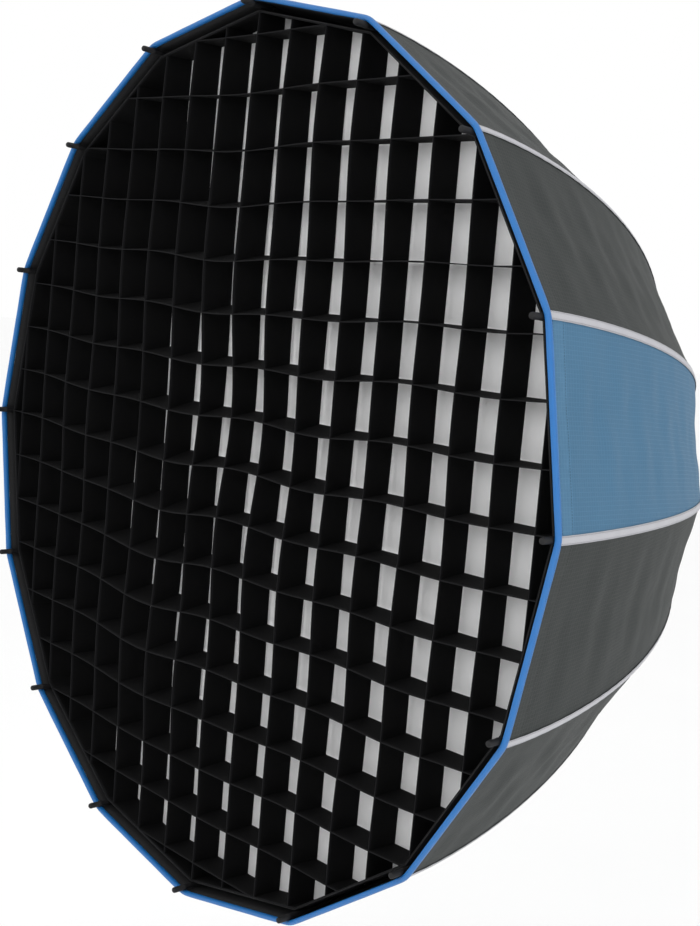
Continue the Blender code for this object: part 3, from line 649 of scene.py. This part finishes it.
def edge_end():
    """Where the bound edge meets the middle of a gore, as a length from the corner."""
    u = RIM * sin(HALF)
    for _ in range(8):
        out = RIM * 1.0005 - (sqrt(u * u + CORNER * CORNER) - CORNER) * sin(HALF)
        u = out * tan(HALF) / cos(HALF)
    return u


def edge_line(u):
    """Middle of the bound edge, u metres from a corner: across the rib's plane, and out."""
    bend = sqrt(u * u + CORNER * CORNER)
    middle = Vector((u * cos(HALF), RIM * 1.0005 - (bend - CORNER) * sin(HALF)))
    out = Vector((u / bend * sin(HALF), cos(HALF))).normalized()
    return middle, out


def binding_piece(rib):
    bm, marks = bmesh.new(), {}
    columns, around = 44, 18
    grid = bmesh.ops.create_grid(bm, x_segments=columns, y_segments=around, size=1)["verts"]
    end = edge_end()
    for vert in grid:
        a, b = vert.co.x, (vert.co.y + 1) / 2
        u = a * end
        swell = 1 + 0.03 * sin(90 * u + rib * 1.3) * (1 - a * a)
        section = tau * b
        middle, out = edge_line(u)
        roll = Vector((cos(section) * BIND_OUT, sin(section) * BIND_LONG)) * swell
        point = middle + out * roll.x
        vert.co = turn(rib * STEP, point.x, RIM_Y + roll.y, point.y)
        facing = Vector((cos(section) / BIND_OUT, sin(section) / BIND_LONG)).normalized()
        side = out * facing.x
        marks[vert] = (turn(rib * STEP, side.x, facing.y, side.y), (b * 0.027, u))
    bmesh.ops.remove_doubles(bm, verts=bm.verts[:], dist=1e-6)
    bmesh.ops.holes_fill(bm, edges=[e for e in bm.edges if e.is_boundary], sides=0)
    kept = {v: marks[v] for v in bm.verts}
    piece = sewn(bm, kept, f"binding_{rib + 1:02d}", [blue_binding])
    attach(piece, f"rib_body_{rib + 1:02d}")
    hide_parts("front_binding")
    axis, anchor = meridian_of(rib)
    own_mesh(piece)
    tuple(axis)
    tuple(anchor)
    return piece


bindings = [binding_piece(rib) for rib in range(RIBS)]
print("binding:", len(bindings), "corners")

# %% Webbing lip
GRID_Y = RIM_Y + 0.009
LIP_WIDTH = 0.025
LIP_OUT = (Vector(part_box("front_lip")[1]).z - 0.0008) * cos(HALF)


def lip_piece(rib):
    bm, marks = bmesh.new(), {}
    for side in (-1, 1):
        gore = rib if side > 0 else rib - 1
        q0, q1 = (-1.0, 0.0) if side > 0 else (0.0, 1.0)

        def place(a, b, lift, gore=gore, q0=q0, q1=q1):
            q = q0 + (q1 - q0) * a
            apothem = LIP_OUT + 0.0008 * b * sin(9 * q + gore * 1.9) * (1 - q * q) + lift
            return turn((gore + 0.5) * STEP, q * apothem * tan(HALF), GRID_Y + LIP_WIDTH * b, apothem)

        def flat(a, b, q0=q0, q1=q1):
            return (LIP_WIDTH * b, (q0 + (q1 - q0) * a) * LIP_OUT * tan(HALF))

        add_cloth(bm, marks, 12, 3, place, flat, 0.0012)
    piece = sewn(bm, marks, f"lip_{rib + 1:02d}", [black_webbing])
    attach(piece, f"rib_body_{rib + 1:02d}")
    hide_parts("front_lip")
    axis, anchor = meridian_of(rib)
    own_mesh(piece)
    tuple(axis)
    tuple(anchor)
    return piece


lips = [lip_piece(rib) for rib in range(RIBS)]
print("lip:", len(lips), "lengths")

# %% [markdown]
# ## Grid and screens
# The grid is two families of cloth strips that pass through each other, some four centimetres deep,
# inside a border strip. It hangs from its edge, so its middle sinks and the strips wave. It rides
# on the hub with the screens, and folding has to gather it towards the axis from all round. So
# each disc is cut into sixteen wedges like a cake.

# %% Strips
GRID_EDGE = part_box("egg_crate_grid")[1].z * cos(HALF)
PITCH = 0.06975
DEEP = 0.0435                    # front to back of a strip
STRIP = 0.0012                   # thickness of the cloth


def drift(x, z, depth):
    """How far the hanging grid is from its pattern, from the front (0) to the back (1) of a strip."""
    r = min(1.0, hypot(x, z) / GRID_EDGE)
    loose = (1 - r * r)
    lean = -0.007 + 0.016 * x / GRID_EDGE - 0.010 * z / GRID_EDGE
    waves_x = (0.0070 * sin(6.4 * z + 0.9) + 0.0040 * sin(12.0 * z - 7.0 * x + 0.6)
               + 0.0034 * sin(21.0 * z + 6.0 * x))
    waves_z = (0.0060 * sin(8.3 * x - 0.4) + 0.0040 * sin(12.0 * x + 6.0 * z + 2.1)
               + 0.0036 * sin(22.0 * x - 5.0 * z + 1.0))
    hold = 1 - 0.75 * depth
    return Vector(((lean + waves_x) * loose * hold,
                   0.0015 * loose * sin(21 * x + 17 * z),
                   (-0.014 * loose + waves_z * loose) * hold))


def strip(bm, start, end, segments):
    """A standing strip of cloth between two points of the rim plane, with its UV kept on the points."""
    made = bmesh.ops.create_grid(bm, x_segments=segments, y_segments=3, size=1)["verts"]
    flat = bm.verts.layers.float_vector["flat"]
    start, end = Vector((start[0], 0, start[1])), Vector((end[0], 0, end[1]))
    for vert in made:
        a, b = (vert.co.x + 1) / 2, (vert.co.y + 1) / 2
        vert[flat] = (b * DEEP, a * (end - start).length, 0)
        vert.co = start.lerp(end, a) + Vector((0, GRID_Y + 0.0005 + b * (DEEP - 0.001), 0))


def reach_at(offset):
    """Half the length of a strip at that distance from the middle, where it meets the border."""
    best = 2.0
    for k in range(RIBS):
        angle = (k + 0.5) * STEP
        out, side = cos(angle), sin(angle)
        if out > 1e-6:
            best = min(best, (GRID_EDGE - offset * side) / out)
    return best


lattice = bmesh.new()
lattice.verts.layers.float_vector.new("flat")
STRIPS = int(GRID_EDGE / PITCH)
STRIP_ROW = 0.0135               # length of one face along a strip
for k in range(-STRIPS, STRIPS + 1):
    offset = k * PITCH
    reach = reach_at(offset)
    count = max(8, round(2 * reach / STRIP_ROW))
    strip(lattice, (offset, -reach), (offset, reach), count)
    strip(lattice, (-reach, offset), (reach, offset), count)
for k in range(RIBS):
    ends = [Vector((sin(a), cos(a))) * GRID_EDGE / cos(HALF) for a in (k * STEP, (k + 1) * STEP)]
    strip(lattice, ends[0], ends[1], 16)
print("grid:", 2 * STRIPS + 1, "strips each way and a border,", len(lattice.faces), "faces flat")


# %% [markdown]
# A wedge is cut from the whole disc with two planes through the axis. The cut is made while the
# disc is still flat, and the waves are added afterwards from each point's position, so that
# neighbouring wedges agree along the cut.

# %% Cut wedges, let them hang, and give them thickness
def wedge_of(disc, k):
    bm = disc.copy()
    for side in (-1, 1):
        angle = (k + side * 0.5) * STEP
        normal = Vector((cos(angle), 0, -sin(angle))) * side
        bmesh.ops.bisect_plane(bm, geom=bm.verts[:] + bm.edges[:] + bm.faces[:], dist=1e-7,
                               plane_co=(0, 0, 0), plane_no=normal, clear_outer=True)
    return bm


def wedge_piece(bm, name, materials, node, thickness, cut):
    flat = bm.verts.layers.float_vector["flat"]
    faces = bm.faces[:]
    bmesh.ops.solidify(bm, geom=faces, thickness=thickness)
    uv = bm.loops.layers.uv.new("flat")
    for f in bm.faces:
        f.smooth = True
        for loop in f.loops:
            loop[uv].uv = loop.vert[flat][:2]
    mesh = bpy.data.meshes.new(name)
    bm.to_mesh(mesh)
    bm.free()
    if mesh.attributes["flat"].domain == "POINT":
        mesh.attributes.remove(mesh.attributes["flat"])
    for material in materials:
        mesh.materials.append(material)
    mesh.set_sharp_from_angle(angle=radians(40))
    piece = bpy.data.objects.new(name, mesh)
    scene.collection.objects.link(piece)
    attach(piece, "hub")
    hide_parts(node)
    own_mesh(piece)
    return piece


grids = []
for k in range(RIBS):
    bm = wedge_of(lattice, k)
    for vert in bm.verts:
        vert.co += drift(vert.co.x, vert.co.z, (vert.co.y - GRID_Y) / DEEP)
    area = sum(f.calc_area() for f in bm.faces)
    grids.append(wedge_piece(bm, f"grid_{k + 1:02d}", [grid_cloth], "egg_crate_grid",
                             STRIP, ((DEEP, area / DEEP), area)))
lattice.free()
print("grid wedges:", len(grids), "with", sum(len(g.data.polygons) for g in grids), "faces")


# %% [markdown]
# The front screen is a flat disc of white cloth right behind the grid, and the inner screen is a
# smaller one half-way down, tied to each rib with elastic. Both are cut to a sixteen-sided
# outline from one fine grid.

# %% Front and inner screens
def screen_disc(y, edge):
    """A sixteen-sided disc: flat sides at `edge`, from a square grid cut to shape."""
    bm = bmesh.new()
    bm.verts.layers.float_vector.new("flat")
    bmesh.ops.create_grid(bm, x_segments=56, y_segments=56, size=0.62,
                          matrix=Matrix.Translation((0, y, 0)) @ Matrix.Rotation(pi / 2, 4, "X"))
    for k in range(RIBS):
        angle = (k + 0.5) * STEP
        out = Vector((sin(angle), 0, cos(angle)))
        bmesh.ops.bisect_plane(bm, geom=bm.verts[:] + bm.edges[:] + bm.faces[:], dist=1e-7,
                               plane_co=out * edge, plane_no=out, clear_outer=True)
    return bm


def screens(name, node, y, corner, puff):
    edge = corner * cos(HALF)
    disc = screen_disc(y, edge)
    made = []
    for k in range(RIBS):
        bm = wedge_of(disc, k)
        flat = bm.verts.layers.float_vector["flat"]
        for vert in bm.verts:
            x, z = vert.co.x, vert.co.z
            vert[flat] = (x, z, 0)
            r = min(1.0, hypot(x, z) / edge)
            vert.co.y += puff * (1 - r * r) * (1 + 0.15 * sin(16 * x + 3 * z) * sin(13 * z))
        area = sum(f.calc_area() for f in bm.faces)
        width = 2 * corner * sin(HALF)
        made.append(wedge_piece(bm, f"{name}_{k + 1:02d}", [diffuser_cloth], node,
                                0.0006, ((width, corner), area)))
    disc.free()
    print(name, len(made), "wedges,", round(2 * corner, 3), "m across")
    return made


BAFFLE_Y = RIM_Y + 0.3600
front_screen = screens("front_screen", "front_diffuser", GRID_Y + DEEP + 0.0006,
                       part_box("front_diffuser")[1].z, 0.004)
inner_screen = screens("inner_screen", "inner_diffuser", BAFFLE_Y + 0.0006,
                       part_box("inner_diffuser")[1].z - 0.016, -0.003)

# %% Elastic loops of the inner screen
elastic = woven("black_elastic", (0.008, 0.008, 0.009), (0.022, 0.022, 0.024), 0.0009, 0.7)
LOOP, LOOP_LONG = 0.012, 0.0165


def loop_piece(k):
    bm, marks = bmesh.new(), {}
    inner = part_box("inner_diffuser")[1].z - 0.017

    def place(a, b, lift):
        bow = 0.0010 * sin(pi * b)
        return turn(k * STEP, (a - 0.5) * LOOP, BAFFLE_Y + bow - lift, inner + LOOP_LONG * b)

    add_cloth(bm, marks, 3, 6, place, lambda a, b: ((a - 0.5) * LOOP, LOOP_LONG * b), 0.0008)
    piece = sewn(bm, marks, f"elastic_loop_{k + 1:02d}", [elastic])
    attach(piece, "hub")
    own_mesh(piece)
    return piece


loops = [loop_piece(k) for k in range(RIBS)]
print("loops:", len(loops))

# %% [markdown]
# ## Rubber tips
# A rounded rubber cap closes the front end of every rib, and stands out just inside the binding.
# A profile is spun round the rod's own line, and then laid on the rib.

# %% Tip caps
TIP = 0.0040
TIP_OFFSET = 0.0072
profile = [(0.0, 0.0195), (0.0022, 0.0192), (0.0036, 0.0180), (TIP, 0.0160), (TIP, 0.0030),
           (TIP + 0.0004, 0.0022), (TIP + 0.0004, -0.0010), (TIP - 0.0002, -0.0020),
           (TIP - 0.0006, -0.0280), (0.0030, -0.0300), (0.0, -0.0302)]


def tip_piece(rib):
    radius, y, out_r, out_y = cover_line(0.0)
    forward = Vector((out_y, -out_r)).normalized()
    bm = bmesh.new()
    chain = [bm.verts.new((r, 0, h)) for r, h in profile]
    edges = [bm.edges.new(pair) for pair in zip(chain, chain[1:])]
    bmesh.ops.spin(bm, geom=chain + edges, cent=(0, 0, 0), axis=(0, 0, 1), angle=tau, steps=20,
                   use_merge=True)
    bmesh.ops.remove_doubles(bm, verts=bm.verts[:], dist=1e-6)
    bmesh.ops.recalc_face_normals(bm, faces=bm.faces[:])
    ahead = turn(rib * STEP, 0, forward.y, forward.x)
    base = turn(rib * STEP, 0, y - out_y * TIP_OFFSET, radius - out_r * TIP_OFFSET)
    lay = Matrix.Translation(base) @ ahead.to_track_quat("Z", "Y").to_matrix().to_4x4()
    bmesh.ops.transform(bm, matrix=lay, verts=bm.verts[:])
    for f in bm.faces:
        f.smooth = True
    mesh = bpy.data.meshes.new(f"tip_{rib + 1:02d}")
    bm.to_mesh(mesh)
    bm.free()
    mesh.materials.append(tip_rubber)
    piece = bpy.data.objects.new(mesh.name, mesh)
    scene.collection.objects.link(piece)
    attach(piece, f"rib_body_{rib + 1:02d}")
    return piece


tips = [tip_piece(rib) for rib in range(RIBS)]
print("tips:", len(tips))

# %% [markdown]
# ## Hub
# The hub's round pieces are turned: a closed profile is spun once round the box's axis, and the
# hard edges get a small bevel that catches the light. The bayonet ring has three lugs, short
# lengths of the same kind of spin. The slots for the ribs are cut with a Boolean, because they
# cross the turned flange.

# %% Turning and bevelling
def chamfered(bm, width, segments=2, angle=radians(35)):
    edges = [e for e in bm.edges if len(e.link_faces) == 2 and e.calc_face_angle(0) > angle]
    bmesh.ops.bevel(bm, geom=edges, offset=width, offset_type="OFFSET", segments=segments,
                    profile=0.5, affect="EDGES", clamp_overlap=True, material=-1)


def turned(bm, outline, steps=96, start=0.0, sweep=tau):
    """Spins a closed profile of (radius, y) round the box's axis."""
    whole = sweep > tau - 1e-6
    ring = [bm.verts.new((sin(start) * r, y, cos(start) * r)) for r, y in outline]
    face = bm.faces.new(ring)
    if whole:
        edges = face.edges[:]
        bmesh.ops.delete(bm, geom=[face], context="FACES_ONLY")
        bmesh.ops.spin(bm, geom=ring + edges, cent=(0, 0, 0), axis=(0, 1, 0), angle=sweep,
                       steps=steps, use_merge=True)
    else:
        bmesh.ops.spin(bm, geom=[face] + ring + face.edges[:], cent=(0, 0, 0), axis=(0, 1, 0),
                       angle=sweep, steps=steps)
    bmesh.ops.remove_doubles(bm, verts=bm.verts[:], dist=1e-7)
    bmesh.ops.recalc_face_normals(bm, faces=bm.faces[:])


def hard_piece(bm, name, material, body, slot_name, *replaced):
    """Finishes a rigid piece: smooth faces with sharp edges kept, on its body."""
    for f in bm.faces:
        f.smooth = True
    mesh = bpy.data.meshes.new(name)
    bm.to_mesh(mesh)
    bm.free()
    mesh.set_sharp_from_angle(angle=radians(32))
    mesh.materials.append(material)
    piece = bpy.data.objects.new(name, mesh)
    scene.collection.objects.link(piece)
    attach(piece, body)
    if replaced:
        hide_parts(*replaced)
    print(name, len(mesh.polygons), "faces")
    return piece


# %% Bayonet ring with three lugs
ring = bmesh.new()
turned(ring, [(0.0410, 0.0120), (0.0455, 0.0120), (0.0455, 0.0), (0.0720, 0.0), (0.0720, -0.0050),
              (0.0595, -0.0050), (0.0595, -0.0417), (0.0530, -0.0417), (0.0530, -0.0300),
              (0.0410, -0.0100)])
for k in range(3):
    turned(ring, [(0.0445, 0.0110), (0.0490, 0.0110), (0.0490, 0.0060), (0.0445, 0.0060)], 12,
           tau * k / 3 - radians(19), radians(38))
chamfered(ring, 0.0005)
bayonet = hard_piece(ring, "bayonet_ring_turned", hub_metal, "mount", "hub_metal", "bayonet_ring")


# %% Hub ring, slotted for the knuckles
LOCK_AT = radians(191.25)
LOCK_Y = -0.0165


def radial(angle, y, out):
    """Lays a shape made along +Z on the hub, pointing away from the axis."""
    return Matrix.Rotation(angle, 4, "Y") @ Matrix.Translation((0, y, out))


body = bmesh.new()
turned(body, [(0.0600, -0.0065), (0.0720, -0.0065), (0.0720, -0.0320), (0.0970, -0.0320),
              (0.0970, -0.0417), (0.0600, -0.0417)])
chamfered(body, 0.0006)
boss = bmesh.ops.create_cone(body, cap_ends=True, segments=40, radius1=0.0075, radius2=0.0075,
                             depth=0.0085, matrix=radial(LOCK_AT, LOCK_Y, 0.07125))["verts"]
rim = {e for v in boss for e in v.link_edges if e.calc_face_angle(0) > 1}
bmesh.ops.bevel(body, geom=list(rim), offset=0.0008, offset_type="OFFSET", segments=3, profile=0.5,
                affect="EDGES", clamp_overlap=True, material=-1)
slots = bmesh.new()
for k in range(RIBS):
    bmesh.ops.create_cube(slots, size=1, matrix=radial(k * STEP, -0.0497, 0.0908)
                          @ Matrix.Diagonal((0.011, 0.030, 0.0326, 1)))
cutter = hard_piece(slots, "slot_cutter", hub_metal, "hub", "hub_metal")
hub_body = hard_piece(body, "hub_ring_turned", hub_metal, "hub", "hub_metal", "hub_ring")
cut = hub_body.modifiers.new("slots", "BOOLEAN")
cut.operation, cut.object = "DIFFERENCE", cutter
bpy.context.view_layer.update()
shaped = bpy.data.meshes.new_from_object(
    hub_body.evaluated_get(bpy.context.evaluated_depsgraph_get()))
hub_body.modifiers.clear()
hub_body.data = shaped
bpy.data.objects.remove(cutter)
print("hub ring with slots:", len(shaped.polygons), "faces")

# %% [markdown]
# ## Lock knob and collar
# The thumb screw that stops the box from turning has a fluted head: a spun profile whose radius
# swells and sinks six times round. The collar is a cloth skirt that closes the box round the hub.
# It is spun too, and gathered into small pleats where it is drawn together.

# %% Fluted knob
knob = bmesh.new()
side = [(0.0, 0.0640), (0.0027, 0.0640), (0.0027, 0.0756), (0.0050, 0.0760), (0.0050, 0.0838),
        (0.0080, 0.0840), (0.0090, 0.0848), (0.0092, 0.0862), (0.0092, 0.0930), (0.0091, 0.0985),
        (0.0084, 0.1005), (0.0066, 0.1017), (0.0040, 0.1012), (0.0, 0.1010)]
chain = [knob.verts.new((r, 0, h)) for r, h in side]
bmesh.ops.spin(knob, geom=chain + [knob.edges.new(pair) for pair in zip(chain, chain[1:])],
               cent=(0, 0, 0), axis=(0, 0, 1), angle=tau, steps=72, use_merge=True)
bmesh.ops.remove_doubles(knob, verts=knob.verts[:], dist=1e-7)
bmesh.ops.recalc_face_normals(knob, faces=knob.faces[:])
for vert in knob.verts:
    r = hypot(vert.co.x, vert.co.y)
    if r > 0.007:
        around = np.arctan2(vert.co.y, vert.co.x)
        grip = min(1.0, (r - 0.007) / 0.0015)
        vert.co.xy = vert.co.xy * (1 + grip * 0.0008 * cos(6 * around) / r)
bmesh.ops.transform(knob, matrix=radial(LOCK_AT, LOCK_Y, 0), verts=knob.verts[:])
hard_piece(knob, "lock_knob_fluted", knob_nylon, "lock", "knob", "lock_knob")

# %% Gathered collar
collar_cloth, shader, start = finish("collar_cloth", (0.010, 0.010, 0.011), 0.7,
                                     Specular_IOR_Level=0.3)
place = start.node("ShaderNodeTexCoord", output="Object")
x, z = place.split("X"), place.split("Z")
reach = (x * x + z * z).math("SQRT")
turn_round = x.math("ARCTAN2", z) * 0.1
thread = stitches(turn_round, reach, 0.1105) + stitches(turn_round, reach, 0.0945)
weave = (turn_round * (tau / 0.0012)).math("SINE") * (reach * (tau / 0.0012)).math("SINE")
nap = place.noise(90.0, 3.0)
feed(thread.mix((nap * 0.6 + weave * 0.15).mix((0.006, 0.006, 0.007, 1), (0.018, 0.018, 0.019, 1)),
                (0.045, 0.045, 0.047, 1)), shader, "Base Color")
bump(nap * 0.5 + weave * 0.2 + thread * 0.6, shader, 0.0005)

low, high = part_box("rear_collar")
outer_r, kink = 0.1135, 0.0982
skirt = [(0.0862, high.y - 0.0001), (0.0920, high.y), (kink - 0.002, high.y),
         (kink, high.y - 0.0008)]
steps_down = 7
skirt += [(kink + (outer_r - kink) * (k / steps_down), high.y - 0.0008
           - (high.y - 0.0008 - low.y - 0.0012) * (k / steps_down) ** 1.15)
          for k in range(1, steps_down + 1)]
collar = bmesh.new()
turned(collar, skirt + [(r, y - 0.0011) for r, y in reversed(skirt)], 192)
for vert in collar.verts:
    r = hypot(vert.co.x, vert.co.z)
    loose = max(0.0, min(1.0, (r - kink) / 0.006)) * (1 - max(0.0, (r - 0.1085) / 0.006))
    vert.co.y += 0.0007 * loose * sin(48 * np.arctan2(vert.co.x, vert.co.z))
piece = hard_piece(collar, "rear_collar_cloth", collar_cloth, "hub", "black_webbing", "rear_collar")
